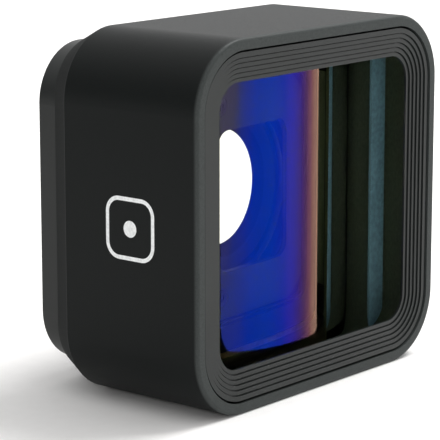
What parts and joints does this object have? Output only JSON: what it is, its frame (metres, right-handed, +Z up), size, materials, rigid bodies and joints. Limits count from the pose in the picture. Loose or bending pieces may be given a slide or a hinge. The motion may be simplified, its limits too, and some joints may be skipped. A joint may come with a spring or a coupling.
{
  "type": "clip-on anamorphic lens",
  "caption": "Rounded-square clip-on cylindrical lens: stepped front frame, hollowed front glass, coated rear pair, and a turning rear carrier with a bayonet spigot.",
  "frame": {"origin": "on the optical axis, at the rear face of the carrier, where the mount meets the phone case", "axes": "+Z up, +Y backwards along the optical axis (the front glass faces -Y), +X to the right seen from the front"},
  "size_m": [0.0404, 0.0259, 0.038],
  "materials": {
    "shell_black": "bead-blasted, black anodised, satin",
    "frame_black": "turned steps, black anodised, satin",
    "cell_black": "matt black anodised",
    "carrier_black": "smooth black anodised, semi-gloss",
    "bayonet_metal": "turned, black anodised, semi-gloss",
    "retainer_black": "matt black anodised",
    "liner_black": "flocked light trap",
    "gasket_rubber": "matt",
    "pad_rubber": "matt",
    "front_glass": "polished, anti-reflection coated, blackened edges",
    "coated_glass": "polished, blue-violet anti-reflection coating",
    "flint_glass": "polished, cemented",
    "window_glass": "polished, anti-reflection coated",
    "shim_metal": "rolled sheet",
    "screw_steel": "black oxide",
    "pin_steel": "ground",
    "spring_steel": "drawn, bright",
    "mark_paint": "white paint fill"
  },
  "bodies": {
    "housing": {"body_shell": "shell_black", "side_mark": "mark_paint", "front_bezel": "frame_black", "bezel_gasket": "gasket_rubber", "front_lens_gasket": "gasket_rubber", "front_lens": "front_glass", "lens_cell": "cell_black", "spacer_frame": "cell_black", "side_liners": "liner_black", "crown_lens": "coated_glass", "flint_lens": "flint_glass", "doublet_shim": "shim_metal", "rear_baffle": "cell_black", "cell_screws": "screw_steel", "stop_pin": "pin_steel", "wave_spring": "spring_steel"},
    "carrier": {"rear_plate": "carrier_black", "retaining_ring": "carrier_black", "ring_screws": "screw_steel", "bayonet_ring": "bayonet_metal", "bayonet_screws": "screw_steel", "rear_window": "window_glass", "window_retainer": "retainer_black", "flange_pad": "pad_rubber", "index_dot": "mark_paint", "lock_pin_plug": "carrier_black", "lock_pin_spring": "spring_steel"},
    "lock_pin": {"lock_pin": "pin_steel"}
  },
  "joints": [
    {"name": "carrier_turn", "type": "hinge", "parent": "housing", "child": "carrier", "pos_m": [0, 0, 0], "axis": [0, 1, 0], "range_deg": [-5, 5]},
    {"name": "lock_pin_slide", "type": "slide", "parent": "carrier", "child": "lock_pin", "axis": [0, -1, 0], "range_m": [0, 0.0008], "stiffness_N_per_m": 200, "springref_m": -0.001, "deforming": ["lock_pin_spring"]}
  ]
}
